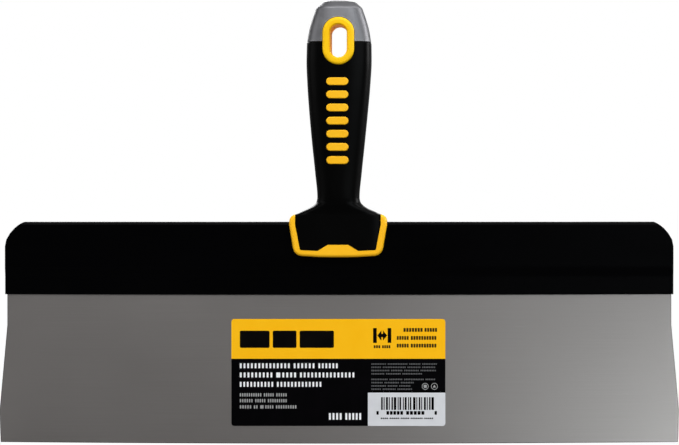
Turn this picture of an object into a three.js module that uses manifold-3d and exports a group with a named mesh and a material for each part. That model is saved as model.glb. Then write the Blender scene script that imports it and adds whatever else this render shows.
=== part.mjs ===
// A drywall taping knife: a wide stainless blade in a folded steel back, a riveted tang, and a
// two-shot handle with a metal hammer end and a hanging slot.
//
// Frame, in millimetres: X runs along the blade, Y through its thickness with the labelled face
// towards -Y, and Z up the handle. The origin is the middle of the working edge, at mid thickness.
import * as THREE from "three";
import { mergeVertices } from "three/addons/utils/BufferGeometryUtils.js";
import Module from "manifold-3d";

// ---- Blade: half widths at five heights, from the working edge up ----
const BLADE_THICKNESS = 0.5;
const BLADE_CROWN = 1.0; // the ends of the working edge stand this much above its middle
const BLADE_LEVELS = [
  { height: 0, halfWidth: 202.6 },
  { height: 20, halfWidth: 203.2 },
  { height: 71, halfWidth: 198.6 },
  { height: 88, halfWidth: 198.6 },
  { height: 107, halfWidth: 198.6 },
];

// ---- Blade back: a folded channel, pinched onto the blade along its lower edge ----
const BACK_WIDTH = 399.6;
const BACK_BOTTOM = 89.0;
const BACK_TOP = 132.8;
const BACK_SHEET = 0.8;
const BACK_LIP_GAP = 0.3; // half of the gap between the pinched lips
const BACK_HOLLOW = 1.3; // half of the gap inside the hollow part
const BACK_JOG_LOW = 100.6;
const BACK_JOG_HIGH = 105.4;
const BACK_CORNER_RADIUS = 21.5;
const BACK_CORNER_RUN = 11.5; // along the top
const BACK_CORNER_DROP = 12.8; // down the end

// ---- Tang and its rivets ----
const TANG_THICKNESS = 2.5;
const TANG_FOOT_HALF_WIDTH = 22;
const TANG_FOOT_BOTTOM = 109;
const TANG_FOOT_TOP = 129.8;
const TANG_TOP = 257;
const FOLD_SLOT_HALF_WIDTH = 12.4;
const RIVET_HEIGHT = 120.5;
const RIVET_PITCH = 14;
const RIVET_RADIUS = 1.95;
const RIVET_HOLE_RADIUS = 2.1;
const RIVET_HEAD_RADIUS = 3.5;
const RIVET_HEAD_HEIGHT = 1.35;

// ---- Handle ----
// Half widths and half depths up the handle, from the top of the foot to the seam under the cap.
const HANDLE_PROFILE = [
  { height: 137.5, halfWidth: 24.6, halfDepth: 8.3 },
  { height: 139.1, halfWidth: 21.1, halfDepth: 8.6 },
  { height: 140.9, halfWidth: 17.0, halfDepth: 9.1 },
  { height: 142.7, halfWidth: 14.5, halfDepth: 9.7 },
  { height: 144.6, halfWidth: 13.2, halfDepth: 10.2 },
  { height: 147.3, halfWidth: 12.6, halfDepth: 10.6 },
  { height: 161.6, halfWidth: 13.9, halfDepth: 11.3 },
  { height: 180.7, halfWidth: 15.8, halfDepth: 12.4 },
  { height: 199.9, halfWidth: 17.6, halfDepth: 13.4 },
  { height: 214.2, halfWidth: 18.7, halfDepth: 13.9 },
  { height: 228.6, halfWidth: 19.4, halfDepth: 14.0 },
  { height: 239.6, halfWidth: 19.2, halfDepth: 13.8 },
];
// The same for the cap, from the seam to its slightly domed striking face.
const CAP_PROFILE = [
  { height: 239.9, halfWidth: 19.2, halfDepth: 13.8 },
  { height: 247.4, halfWidth: 17.7, halfDepth: 13.4 },
  { height: 253.4, halfWidth: 16.0, halfDepth: 12.9 },
  { height: 260.2, halfWidth: 13.7, halfDepth: 12.0 },
  { height: 264.3, halfWidth: 9.1, halfDepth: 7.8 },
  { height: 265.1, halfWidth: 5.6, halfDepth: 4.6 },
];
const SKIN = 3.0; // wall of the grip and of the cap
const FIT_GAP = 0.3; // between two pieces where one is shaped round the other
const CAVITY_TOP = 259.8; // the cap is solid above this

// ---- Foot of the handle, which straddles the back ----
const FOOT_HALF_DEPTH = 8.25;
const FOOT_WEB_HALF_DEPTH = 5.0;
const FOOT_WEB_TOP = 134.5;
const FOOT_SLOT_HALF_WIDTH = 2.4;
const FOOT_SLOT_TOP = 133.1;
const FOOT_EDGE_RADIUS = 1.2;

// ---- Raised marks: plain bars of the core that stand through the grip, front and rear ----
const MARK_COUNT = 7;
const MARK_HALF_WIDTH = 6.6;
const MARK_HEIGHT = 4.6;
const MARKS_BOTTOM = 167.1;
const MARKS_TOP = 218.4;
const MARK_PROUD = 0.25;

// ---- Hang ring: stadium outlines, each a half width and half of its straight length ----
const RING_HEIGHT = 240.2;
const RING_HOLE = { halfWidth: 4.9, halfStraight: 4.7 };
const RING_SLEEVE = { halfWidth: 6.2, halfStraight: 4.7 };
const RING_LIP = { halfWidth: 9.5, halfStraight: 4.7 };
const RING_LIP_OUTER = 14.6; // how far the lip's face is from the handle's mid plane
const RING_LIP_INNER = 12.3;
const RING_EDGE_RADIUS = 0.9;

// ---- Label ----
const LABEL_WIDTH = 128.0;
const LABEL_BOTTOM = 10.6;
const LABEL_TOP = 74.6;
const LABEL_CORNER_RADIUS = 2.0;
const LABEL_THICKNESS = 0.2;
const LABEL_CENTRE_X = -0.55;
const GLUE_LINE = 0.05;

const wasm = await Module();
wasm.setup();

// ---- Solids: joining and cutting ----

function toSolid(geometry) {
  const bare = geometry.clone();
  bare.deleteAttribute("normal");
  bare.deleteAttribute("uv");
  const merged = mergeVertices(bare, 1e-4);
  return new wasm.Manifold(
    new wasm.Mesh({
      numProp: 3,
      vertProperties: merged.getAttribute("position").array,
      triVerts: new Uint32Array(merged.index.array),
    }),
  );
}

function toGeometry(solid) {
  const mesh = solid.getMesh();
  const geometry = new THREE.BufferGeometry();
  geometry.setAttribute("position", new THREE.BufferAttribute(mesh.vertProperties, 3));
  geometry.setIndex(new THREE.BufferAttribute(mesh.triVerts, 1));
  geometry.computeVertexNormals();
  return geometry;
}

function join(...geometries) {
  const solids = geometries.map(toSolid);
  return toGeometry(solids.reduce((whole, next) => whole.add(next)));
}

function cut(geometry, ...tools) {
  const body = toSolid(geometry);
  return toGeometry(tools.map(toSolid).reduce((whole, tool) => whole.subtract(tool), body));
}

function common(first, second) {
  return toGeometry(toSolid(first).intersect(toSolid(second)));
}

// ---- Shape helpers ----

// A closed outline whose corners are [x, z, radius], each rounded off by its radius.
function roundedOutline(corners) {
  const shape = new THREE.Shape();
  corners.forEach(([x, z, radius = 0], i) => {
    const here = new THREE.Vector2(x, z);
    const before = new THREE.Vector2(...corners.at(i - 1)).sub(here);
    const after = new THREE.Vector2(...corners[(i + 1) % corners.length]).sub(here);
    const turn = Math.PI - before.angleTo(after);
    const run = radius * Math.tan(turn / 2);
    const start = here.clone().addScaledVector(before.normalize(), run);
    const end = here.clone().addScaledVector(after.normalize(), run);
    if (i === 0) {
      shape.moveTo(start.x, start.y);
    } else {
      shape.lineTo(start.x, start.y);
    }
    if (run > 0) {
      shape.quadraticCurveTo(x, z, end.x, end.y);
    }
  });
  shape.closePath();
  return shape;
}

// The corners of the right half of an outline, then the same ones mirrored, in order.
function mirrored(rightHalf) {
  const leftHalf = rightHalf.map(([x, z, radius]) => [-x, z, radius]).reverse();
  return [...rightHalf, ...leftHalf];
}

// An upright stadium round the hanging slot, larger by grow all round.
function stadium({ halfWidth, halfStraight }, grow = 0, path = new THREE.Shape()) {
  const radius = halfWidth + grow;
  path.absarc(0, RING_HEIGHT + halfStraight, radius, 0, Math.PI, false);
  path.absarc(0, RING_HEIGHT - halfStraight, radius, Math.PI, 2 * Math.PI, false);
  path.closePath();
  return path;
}

// A plate with this front outline, from one Y to another. Its edges can be rounded.
function plate(outline, fromY, toY, { round = 0, segments = 5 } = {}) {
  const geometry = new THREE.ExtrudeGeometry(outline, {
    depth: toY - fromY - 2 * round,
    curveSegments: segments,
    bevelEnabled: round > 0,
    bevelThickness: round,
    bevelSize: round,
    bevelOffset: -round,
    bevelSegments: 2,
  });
  geometry.rotateX(Math.PI / 2); // the outline's height is now Z, and its depth runs towards -Y
  geometry.translate(0, toY - round, 0);
  return geometry;
}

function block(halfX, halfY, fromZ, toZ) {
  const geometry = new THREE.BoxGeometry(2 * halfX, 2 * halfY, toZ - fromZ);
  geometry.translate(0, 0, (fromZ + toZ) / 2);
  return geometry;
}

// A unit circle's coordinate moved onto a superellipse: power 2 is an ellipse, and more is squarer.
function squared(coordinate, power) {
  if (Math.abs(coordinate) < 1e-6) {
    return 0;
  }
  return Math.sign(coordinate) * Math.abs(coordinate) ** (2 / power);
}

// A closed body through the stations, each a superellipse with its own size and squareness.
function loft(stations, around = 36) {
  const last = stations.length - 1;
  const geometry = new THREE.CylinderGeometry(1, 1, 1, around, last);
  geometry.rotateX(Math.PI / 2);
  const points = geometry.getAttribute("position");
  for (let i = 0; i < points.count; i++) {
    const { height, halfWidth, halfDepth, power } = stations[Math.round((points.getZ(i) + 0.5) * last)];
    const x = halfWidth * squared(points.getX(i), power);
    const y = halfDepth * squared(points.getY(i), power);
    points.setXYZ(i, x, y, height);
  }
  return geometry;
}

// How square the handle's section is: a rounded bar over the foot, oval at the neck, and a
// rounded rectangle at the cap.
function squareness(height) {
  const aboveFoot = THREE.MathUtils.smoothstep(height, 134.5, 145);
  const upHandle = THREE.MathUtils.smoothstep(height, 147, 240);
  return THREE.MathUtils.lerp(7, 2.5, aboveFoot) + 0.8 * upHandle;
}

// The stations of a profile, with every section drawn in by inset.
function stationsOf(profile, inset = 0) {
  return profile.map(({ height, halfWidth, halfDepth }) => ({
    height,
    halfWidth: halfWidth - inset,
    halfDepth: halfDepth - inset,
    power: squareness(height),
  }));
}

// Where the handle's front surface is on its centre line, at this height.
function frontDepth(height) {
  const above = HANDLE_PROFILE.findIndex((station) => station.height > height);
  const low = HANDLE_PROFILE[above - 1];
  const high = HANDLE_PROFILE[above];
  const share = (height - low.height) / (high.height - low.height);
  return THREE.MathUtils.lerp(low.halfDepth, high.halfDepth, share);
}

// ---- Materials ----

function metal(color, roughness) {
  return new THREE.MeshStandardMaterial({ color, roughness, metalness: 1.0 });
}

function plastic(color, roughness) {
  return new THREE.MeshStandardMaterial({ color, roughness, metalness: 0.0 });
}

const stainless = metal("#a9a7a6", 0.38);
const rawSteel = metal("#8d8c8a", 0.5);
const castMetal = metal("#908f93", 0.42);
const blackPaint = plastic("#08080a", 0.45);
const blackSoft = plastic("#0d0c0c", 0.7);
const yellowPlastic = plastic("#f6b41f", 0.45);
const labelFilm = plastic("#f3b41c", 0.4);

// ---- Blade ----

// A thin sheet: a box whose cells are moved out to the blade's width at each level.
function bladeGeometry() {
  const rows = BLADE_LEVELS.length - 1;
  const geometry = new THREE.BoxGeometry(2, BLADE_THICKNESS, rows, 16, 1, rows);
  const points = geometry.getAttribute("position");
  for (let i = 0; i < points.count; i++) {
    const across = points.getX(i);
    const level = Math.round(points.getZ(i) + rows / 2);
    const { height, halfWidth } = BLADE_LEVELS[level];
    const crown = level === 0 ? BLADE_CROWN * across ** 2 : 0;
    points.setXYZ(i, across * halfWidth, points.getY(i), height + crown);
  }
  return geometry;
}

// ---- Blade back ----

// The strip's folded section, drawn across X: one outline down the outside and back up the inside.
function foldSection() {
  const foldCentre = BACK_TOP - BACK_HOLLOW - BACK_SHEET;
  const section = new THREE.Shape();
  const lipOuter = BACK_LIP_GAP + BACK_SHEET;
  const hollowOuter = BACK_HOLLOW + BACK_SHEET;
  section.moveTo(lipOuter, BACK_BOTTOM);
  section.lineTo(lipOuter, BACK_JOG_LOW);
  section.lineTo(hollowOuter, BACK_JOG_HIGH);
  section.absarc(0, foldCentre, hollowOuter, 0, Math.PI, false);
  section.lineTo(-hollowOuter, BACK_JOG_HIGH);
  section.lineTo(-lipOuter, BACK_JOG_LOW);
  section.lineTo(-lipOuter, BACK_BOTTOM);
  section.lineTo(-BACK_LIP_GAP, BACK_BOTTOM);
  section.lineTo(-BACK_LIP_GAP, BACK_JOG_LOW);
  section.lineTo(-BACK_HOLLOW, BACK_JOG_HIGH);
  section.absarc(0, foldCentre, BACK_HOLLOW, Math.PI, 0, true);
  section.lineTo(BACK_HOLLOW, BACK_JOG_HIGH);
  section.lineTo(BACK_LIP_GAP, BACK_JOG_LOW);
  section.lineTo(BACK_LIP_GAP, BACK_BOTTOM);
  section.closePath();
  return section;
}

// The back's front outline: a long bar whose two top corners are cut on an arc.
function backOutline() {
  const end = BACK_WIDTH / 2;
  const arcStart = new THREE.Vector2(end, BACK_TOP - BACK_CORNER_DROP);
  const arcEnd = new THREE.Vector2(end - BACK_CORNER_RUN, BACK_TOP + 0.01);
  const chord = arcEnd.clone().sub(arcStart);
  const rise = Math.sqrt(BACK_CORNER_RADIUS ** 2 - chord.lengthSq() / 4);
  const inward = new THREE.Vector2(-chord.y, chord.x).normalize();
  const centre = arcStart.clone().add(arcEnd).multiplyScalar(0.5).addScaledVector(inward, rise);
  const from = arcStart.clone().sub(centre).angle();
  const to = arcEnd.clone().sub(centre).angle();
  const outline = new THREE.Shape();
  outline.moveTo(-end, BACK_BOTTOM - 1);
  outline.lineTo(end, BACK_BOTTOM - 1);
  outline.absarc(centre.x, centre.y, BACK_CORNER_RADIUS, from, to, false);
  outline.absarc(-centre.x, centre.y, BACK_CORNER_RADIUS, Math.PI - to, Math.PI - from, false);
  outline.closePath();
  return outline;
}

function rivetPositions() {
  return [-RIVET_PITCH, 0, RIVET_PITCH];
}

// A cylinder through the thickness of the knife at a rivet.
function rivetHole(x) {
  const geometry = new THREE.CylinderGeometry(RIVET_HOLE_RADIUS, RIVET_HOLE_RADIUS, 12, 16);
  geometry.translate(x, 0, RIVET_HEIGHT);
  return geometry;
}

function backGeometry() {
  const folded = new THREE.ExtrudeGeometry(foldSection(), {
    depth: BACK_WIDTH + 2,
    curveSegments: 5,
    bevelEnabled: false,
  });
  folded.translate(0, 0, -BACK_WIDTH / 2 - 1);
  const turn = new THREE.Matrix4().makeBasis(
    new THREE.Vector3(0, 1, 0),
    new THREE.Vector3(0, 0, 1),
    new THREE.Vector3(1, 0, 0),
  );
  folded.applyMatrix4(turn);
  const trimmed = common(folded, plate(backOutline(), -5, 5));
  const tangSlot = block(FOLD_SLOT_HALF_WIDTH, 1.4, 130.2, 134);
  return cut(trimmed, tangSlot, ...rivetPositions().map(rivetHole));
}

// ---- Tang and rivets ----

// The tang's outline, larger by grow all round: a wide foot, a neck, and an eye for the hang ring.
function tangOutline(grow = 0) {
  return roundedOutline(
    mirrored([
      [TANG_FOOT_HALF_WIDTH + grow, TANG_FOOT_BOTTOM - grow, 2],
      [TANG_FOOT_HALF_WIDTH + grow, TANG_FOOT_TOP + grow, 2],
      [12 + grow, TANG_FOOT_TOP + grow, 0],
      [12 + grow, 136, 6],
      [7.6 + grow, 147, 10],
      [8.6 + grow, 175, 30],
      [12.5 + grow, 224, 30],
      [12.5 + grow, 245, 10],
      [10 + grow, TANG_TOP + grow, 4],
    ]),
  );
}

function tangGeometry() {
  const bar = plate(tangOutline(), -TANG_THICKNESS / 2, TANG_THICKNESS / 2, { segments: 4 });
  const eye = plate(stadium(RING_SLEEVE, FIT_GAP), -5, 5);
  return cut(bar, eye, ...rivetPositions().map(rivetHole));
}

// A rivet with a low domed head on each side, turned about Y.
function rivetGeometry() {
  const under = BACK_HOLLOW + BACK_SHEET + GLUE_LINE;
  const top = under + RIVET_HEAD_HEIGHT;
  const upperHalf = [
    [RIVET_RADIUS, under],
    [RIVET_HEAD_RADIUS, under],
    [RIVET_HEAD_RADIUS - 0.2, under + 0.75],
    [RIVET_HEAD_RADIUS - 1.0, top - 0.15],
    [0, top],
  ];
  const lowerHalf = upperHalf.map(([radius, y]) => [radius, -y]).reverse();
  const profile = [...lowerHalf, ...upperHalf].map(([radius, y]) => new THREE.Vector2(radius, y));
  return new THREE.LatheGeometry(profile, 16);
}

// ---- Foot of the handle ----

// The yellow frame's outer outline: its ends lean outwards, and its lower edge bows down a little.
function footOutline() {
  return roundedOutline(
    mirrored([
      [0.01, 111.55, 0],
      [11, 111.65, 120],
      [26.1, 112.5, 6],
      [29.2, 131.3, 10],
      [28.75, 136.1, 4.4],
      [24.6, 137.55, 0],
    ]),
  );
}

// The opening inside the frame, with the low bump in the middle of its lower edge.
function footOpening(grow = 0) {
  return roundedOutline(
    mirrored([
      [6.1, 118.95 - grow, 1.5],
      [12.2, 115.3 - grow, 1.5],
      [22.6 + grow, 115.8 - grow, 1],
      [25.6 + grow, 131.4, 8],
      [25.7 + grow, 138, 0],
    ]),
  );
}

// ---- Handle core ----

// The core inside the grip and the cap, larger by grow all round.
function coreBody(grow = 0) {
  const inset = SKIN + FIT_GAP - grow;
  const inGrip = stationsOf(HANDLE_PROFILE, inset);
  const inCap = stationsOf(CAP_PROFILE.slice(0, 4), inset);
  const base = { ...inGrip[0], height: FOOT_SLOT_TOP };
  const spigotTop = { ...inCap.pop(), height: CAVITY_TOP - FIT_GAP + grow };
  return loft([base, ...inGrip, ...inCap, spigotTop]);
}

// One raised bar, from inside the core to just proud of the grip. Side is -1 at the front.
function mark(index, side, grow = 0) {
  const pitch = (MARKS_TOP - MARKS_BOTTOM - MARK_HEIGHT) / (MARK_COUNT - 1);
  const centre = MARKS_BOTTOM + MARK_HEIGHT / 2 + index * pitch;
  const radius = MARK_HEIGHT / 2 + grow;
  const reach = MARK_HALF_WIDTH - MARK_HEIGHT / 2;
  const pill = new THREE.Shape();
  pill.absarc(reach, centre, radius, -Math.PI / 2, Math.PI / 2, false);
  pill.absarc(-reach, centre, radius, Math.PI / 2, 1.5 * Math.PI, false);
  pill.closePath();
  const outer = frontDepth(centre) + MARK_PROUD + 5 * grow;
  const inner = frontDepth(centre) - SKIN - 2;
  const [fromY, toY] = side < 0 ? [-outer, -inner] : [inner, outer];
  return plate(pill, fromY, toY, { segments: 3 });
}

function marks(grow = 0) {
  const indices = Array.from({ length: MARK_COUNT }, (_, index) => index);
  return indices.flatMap((index) => [mark(index, -1, grow), mark(index, 1, grow)]);
}

function coreGeometry() {
  const frame = plate(footOutline(), -FOOT_HALF_DEPTH, FOOT_HALF_DEPTH, {
    round: FOOT_EDGE_RADIUS,
    segments: 5,
  });
  const openings = [
    plate(footOpening(), -20, -FOOT_WEB_HALF_DEPTH),
    plate(footOpening(), FOOT_WEB_HALF_DEPTH, 20),
    block(25.7, 20, FOOT_WEB_TOP, 140),
  ];
  const solid = join(cut(frame, ...openings), coreBody(), ...marks());
  const backSlot = block(60, FOOT_SLOT_HALF_WIDTH, 100, FOOT_SLOT_TOP);
  const rivetPocket = block(19, 3.9, 115, 126);
  const tangSlot = plate(tangOutline(0.2), -TANG_THICKNESS / 2 - 0.2, TANG_THICKNESS / 2 + 0.2, {
    segments: 4,
  });
  const hangHole = plate(stadium(RING_SLEEVE, FIT_GAP), -20, 20);
  return cut(solid, backSlot, rivetPocket, tangSlot, hangHole);
}

// ---- Grip ----

// The pockets for the hang ring: its sleeve's hole and a flat seat for each lip.
function ringPockets() {
  const seat = RING_LIP_INNER - FIT_GAP;
  return [
    plate(stadium(RING_SLEEVE, FIT_GAP), -20, 20),
    plate(stadium(RING_LIP, FIT_GAP), -20, -seat),
    plate(stadium(RING_LIP, FIT_GAP), seat, 20),
  ];
}

function gripGeometry() {
  const stations = stationsOf(HANDLE_PROFILE);
  const shoulder = { ...stations[0], halfWidth: 25.2, height: 136.8 };
  const base = { ...shoulder, height: FOOT_SLOT_TOP + FIT_GAP };
  const body = loft([base, shoulder, ...stations]);
  const infill = plate(footOpening(-FIT_GAP), -8.1, 8.1, { round: 0.5 });
  const belowShoulder = block(40, 20, 100, 136.9);
  const webRoom = block(40, FOOT_WEB_HALF_DEPTH + FIT_GAP, 100, FOOT_WEB_TOP + FIT_GAP);
  return cut(
    join(body, common(infill, belowShoulder)),
    webRoom,
    coreBody(FIT_GAP),
    ...marks(FIT_GAP),
    ...ringPockets(),
  );
}

// ---- End cap ----

function capGeometry() {
  const outer = loft(stationsOf(CAP_PROFILE), 48);
  const walls = stationsOf(CAP_PROFILE.slice(0, 4), SKIN);
  const mouth = { ...walls[0], height: 238.5 };
  const roof = { ...walls.pop(), height: CAVITY_TOP };
  return cut(outer, loft([mouth, ...walls, roof]), ...ringPockets());
}

// ---- Hang ring ----

// One half of the eyelet, with its lip at the front: a rounded lip on a straight sleeve.
function ringGeometry() {
  const lip = stadium(RING_LIP);
  lip.holes.push(stadium(RING_HOLE, 0, new THREE.Path()));
  const sleeve = stadium(RING_SLEEVE);
  sleeve.holes.push(stadium(RING_HOLE, 0, new THREE.Path()));
  const straightMiddle = -(RING_LIP_INNER + RING_LIP_OUTER) / 2;
  return join(
    plate(lip, -RING_LIP_OUTER, -RING_LIP_INNER, { round: RING_EDGE_RADIUS }),
    plate(sleeve, straightMiddle, -FIT_GAP / 2),
  );
}

// ---- Label ----

function labelGeometry() {
  const left = LABEL_CENTRE_X - LABEL_WIDTH / 2;
  const right = LABEL_CENTRE_X + LABEL_WIDTH / 2;
  const outline = roundedOutline([
    [left, LABEL_BOTTOM, LABEL_CORNER_RADIUS],
    [right, LABEL_BOTTOM, LABEL_CORNER_RADIUS],
    [right, LABEL_TOP, LABEL_CORNER_RADIUS],
    [left, LABEL_TOP, LABEL_CORNER_RADIUS],
  ]);
  const rear = -BLADE_THICKNESS / 2 - GLUE_LINE;
  return plate(outline, rear - LABEL_THICKNESS, rear, { segments: 4 });
}

// ---- Assembly ----

function piece(name, geometry, material) {
  const mesh = new THREE.Mesh(geometry, material);
  mesh.name = name;
  return mesh;
}

function bladeAssembly() {
  const group = new THREE.Group();
  group.add(
    piece("blade", bladeGeometry(), stainless),
    piece("blade_back", backGeometry(), blackPaint),
    piece("label", labelGeometry(), labelFilm),
  );
  return group;
}

function tangAssembly() {
  const group = new THREE.Group();
  group.add(piece("tang", tangGeometry(), rawSteel));
  const names = ["tang_rivet_left", "tang_rivet_middle", "tang_rivet_right"];
  rivetPositions().forEach((x, i) => {
    const rivet = piece(names[i], rivetGeometry(), rawSteel);
    rivet.position.set(x, 0, RIVET_HEIGHT);
    group.add(rivet);
  });
  return group;
}

function handleAssembly() {
  const group = new THREE.Group();
  group.add(
    piece("handle_core", coreGeometry(), yellowPlastic),
    piece("grip", gripGeometry(), blackSoft),
    piece("end_cap", capGeometry(), castMetal),
    piece("hang_ring_front", ringGeometry(), yellowPlastic),
  );
  const rear = piece("hang_ring_rear", ringGeometry(), yellowPlastic);
  rear.rotation.z = Math.PI;
  group.add(rear);
  return group;
}

const knife = new THREE.Group();
knife.name = "taping_knife";
knife.add(bladeAssembly(), tangAssembly(), handleAssembly());

export default knife;
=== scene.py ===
"""A drywall taping knife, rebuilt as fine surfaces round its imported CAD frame.

X runs along the blade, -Y is the labelled side and Z runs up the handle. Shapes are written in
millimetres in the CAD's own frame and turned into metres when a mesh is made.
"""

import math

import bmesh
import bpy
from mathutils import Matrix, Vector


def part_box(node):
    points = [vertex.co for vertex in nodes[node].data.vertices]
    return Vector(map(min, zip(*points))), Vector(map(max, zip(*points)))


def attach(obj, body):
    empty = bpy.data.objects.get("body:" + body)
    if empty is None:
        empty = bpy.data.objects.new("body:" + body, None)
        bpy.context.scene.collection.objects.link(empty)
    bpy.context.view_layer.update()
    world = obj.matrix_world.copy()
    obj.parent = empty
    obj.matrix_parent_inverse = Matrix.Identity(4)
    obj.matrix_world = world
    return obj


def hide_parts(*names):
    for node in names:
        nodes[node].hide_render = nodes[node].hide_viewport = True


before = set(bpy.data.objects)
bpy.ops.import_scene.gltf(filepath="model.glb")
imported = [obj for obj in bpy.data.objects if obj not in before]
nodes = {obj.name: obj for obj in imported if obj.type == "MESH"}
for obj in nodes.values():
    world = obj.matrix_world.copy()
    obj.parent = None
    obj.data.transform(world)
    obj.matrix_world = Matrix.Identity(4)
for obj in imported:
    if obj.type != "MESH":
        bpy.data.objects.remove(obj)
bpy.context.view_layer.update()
MM = 0.001


# ---- Positions from the frame ----


def box_mm(node):
    """The lowest and highest corner of a CAD node, in millimetres."""
    low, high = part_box(node)
    return Vector(low) / MM, Vector(high) / MM


BLADE_LOW, BLADE_HIGH = box_mm("blade")
BACK_LOW, BACK_HIGH = box_mm("blade_back")
GRIP_LOW, GRIP_HIGH = box_mm("grip")
CAP_LOW, CAP_HIGH = box_mm("end_cap")
CORE_LOW, CORE_HIGH = box_mm("handle_core")
RING_LOW, RING_HIGH = box_mm("hang_ring_front")
LABEL_LOW, LABEL_HIGH = box_mm("label")

SEAM = (GRIP_HIGH.z + CAP_LOW.z) / 2
RING_CENTRE = (RING_LOW.z + RING_HIGH.z) / 2
FOOT_BOTTOM = CORE_LOW.z
SLOT_TOP = BACK_HIGH.z + 0.3
GAP = 0.3
INFILL_GAP = 0.15
SKIN = 3.0

# Half width and half depth up the handle, as the CAD has them.
HANDLE_PROFILE = [
    (133.2, 26.5, 8.3),
    (136.8, 26.5, 8.3),
    (137.7, 24.2, 8.34),
    (139.1, 21.3, 8.6),
    (140.9, 17.4, 9.1),
    (142.7, 14.65, 9.7),
    (144.6, 13.15, 10.2),
    (147.3, 12.62, 10.6),
    (161.6, 13.87, 11.3),
    (180.7, 15.85, 12.4),
    (199.9, 17.63, 13.4),
    (214.2, 18.73, 13.9),
    (228.6, 19.4, 14.0),
    (240.0, 19.2, 13.8),
]
CAP_CURVE = [(239.6, 19.12, 13.82), (247.4, 17.8, 13.4), (253.4, 16.15, 12.9), (260.5, 13.75, 12.0)]
CAP_BEVEL = [(260.5, 13.75, 12.0), (264.45, 9.3, 7.9), (265.1, 4.9, 4.0)]

RING_HOLE, RING_SLEEVE, RING_LIP = 4.95, 6.2, 9.45
RING_STRAIGHT, LIP_STRAIGHT = 4.7, 4.75

MARK_COUNT, MARK_HALF_WIDTH, MARK_HEIGHT = 7, 6.6, 4.6
MARKS_BOTTOM, MARKS_TOP = 167.1, 218.4
HANDLE_ASIDE, MARKS_ASIDE = -0.5, -0.6  # the handle and its marks sit a little to the left of the blade's middle


# ---- Meshes ----


def mesh_object(name, vertices, faces):
    """A new object from vertices in millimetres, with its faces turned outwards."""
    mesh = bpy.data.meshes.new(name)
    mesh.from_pydata([Vector(v) * MM for v in vertices], [], faces)
    work = bmesh.new()
    work.from_mesh(mesh)
    bmesh.ops.remove_doubles(work, verts=work.verts, dist=1e-7)
    bmesh.ops.recalc_face_normals(work, faces=work.faces)
    work.to_mesh(mesh)
    work.free()
    obj = bpy.data.objects.new(name, mesh)
    bpy.context.scene.collection.objects.link(obj)
    return obj


def skin(name, rings):
    """A closed body through rings of equal length, with a flat face on each end."""
    count = len(rings[0])
    vertices = [point for ring in rings for point in ring]
    faces = [tuple(range(count))[::-1], tuple(range((len(rings) - 1) * count, len(rings) * count))]
    for row in range(len(rings) - 1):
        for i in range(count):
            j = (i + 1) % count
            low, high = row * count, (row + 1) * count
            faces.append((low + i, low + j, high + j, high + i))
    return mesh_object(name, vertices, faces)


def loop_skin(name, rings):
    """A closed body through rings that themselves close on each other, such as a ring or a tube."""
    count, rows = len(rings[0]), len(rings)
    vertices = [point for ring in rings for point in ring]
    faces = []
    for row in range(rows):
        for i in range(count):
            j = (i + 1) % count
            low, high = row * count, ((row + 1) % rows) * count
            faces.append((low + i, low + j, high + j, high + i))
    return mesh_object(name, vertices, faces)


def freeze(obj):
    """Puts an object's modifiers into its mesh."""
    graph = bpy.context.evaluated_depsgraph_get()
    mesh = bpy.data.meshes.new_from_object(obj.evaluated_get(graph))
    obj.modifiers.clear()
    obj.data = mesh


def combine(obj, others, operation):
    """Cuts others from obj, joins them to it, or keeps only what they share."""
    for other in others:
        modifier = obj.modifiers.new("combine", "BOOLEAN")
        modifier.object = other
        modifier.operation = operation
        modifier.solver = "EXACT"
        freeze(obj)
        bpy.data.objects.remove(other)
    return obj


def smooth(obj, angle=32):
    """Smooth shading, with a sharp edge wherever two faces meet at more than this angle."""
    work = bmesh.new()
    work.from_mesh(obj.data)
    bmesh.ops.remove_doubles(work, verts=work.verts, dist=2e-6)
    bmesh.ops.dissolve_degenerate(work, edges=work.edges, dist=1e-6)
    for face in work.faces:
        face.smooth = True
    for edge in work.edges:
        edge.smooth = len(edge.link_faces) == 2 and edge.calc_face_angle(0) < math.radians(angle)
    work.to_mesh(obj.data)
    work.free()
    weighted = obj.modifiers.new("weighted_normals", "WEIGHTED_NORMAL")
    weighted.keep_sharp = True
    return obj


def finish_piece(obj, material, slot, *replaced, angle=32):
    """Shades a piece, gives it its material, and puts it on the knife's one body."""
    smooth(obj, angle)
    obj.data.materials.clear()
    obj.data.materials.append(material)
    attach(obj, "root")
    if replaced:
        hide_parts(*replaced)
    return obj


# ---- Curves and outlines ----


def monotone(points):
    """A smooth function through (x, y) points that never overshoots them."""
    xs = [p[0] for p in points]
    ys = [p[1] for p in points]
    runs = [b - a for a, b in zip(xs, xs[1:])]
    rises = [(b - a) / run for a, b, run in zip(ys, ys[1:], runs)]
    slopes = [rises[0]]
    for before, after in zip(rises, rises[1:]):
        slopes.append(0 if before * after <= 0 else 2 * before * after / (before + after))
    slopes.append(rises[-1])

    def value(x):
        x = min(max(x, xs[0]), xs[-1])
        i = max(k for k in range(len(runs)) if xs[k] <= x)
        t = (x - xs[i]) / runs[i]
        return (
            ys[i] * (1 + 2 * t) * (1 - t) ** 2
            + slopes[i] * runs[i] * t * (1 - t) ** 2
            + ys[i + 1] * t * t * (3 - 2 * t)
            + slopes[i + 1] * runs[i] * t * t * (t - 1)
        )

    return value


def smoothstep(x, low, high):
    t = min(max((x - low) / (high - low), 0), 1)
    return t * t * (3 - 2 * t)


def squareness(height):
    """The power of the handle's superellipse: squarer over the foot and again at the cap."""
    above_foot = smoothstep(height, 134.5, 145)
    return 7 + (2.5 - 7) * above_foot + 0.8 * smoothstep(height, 147, 240)


def lean(height):
    """How far the handle's middle is from the blade's: it leans back to the middle at its top."""
    return HANDLE_ASIDE * (1 - smoothstep(height, 178, 248))


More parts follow.
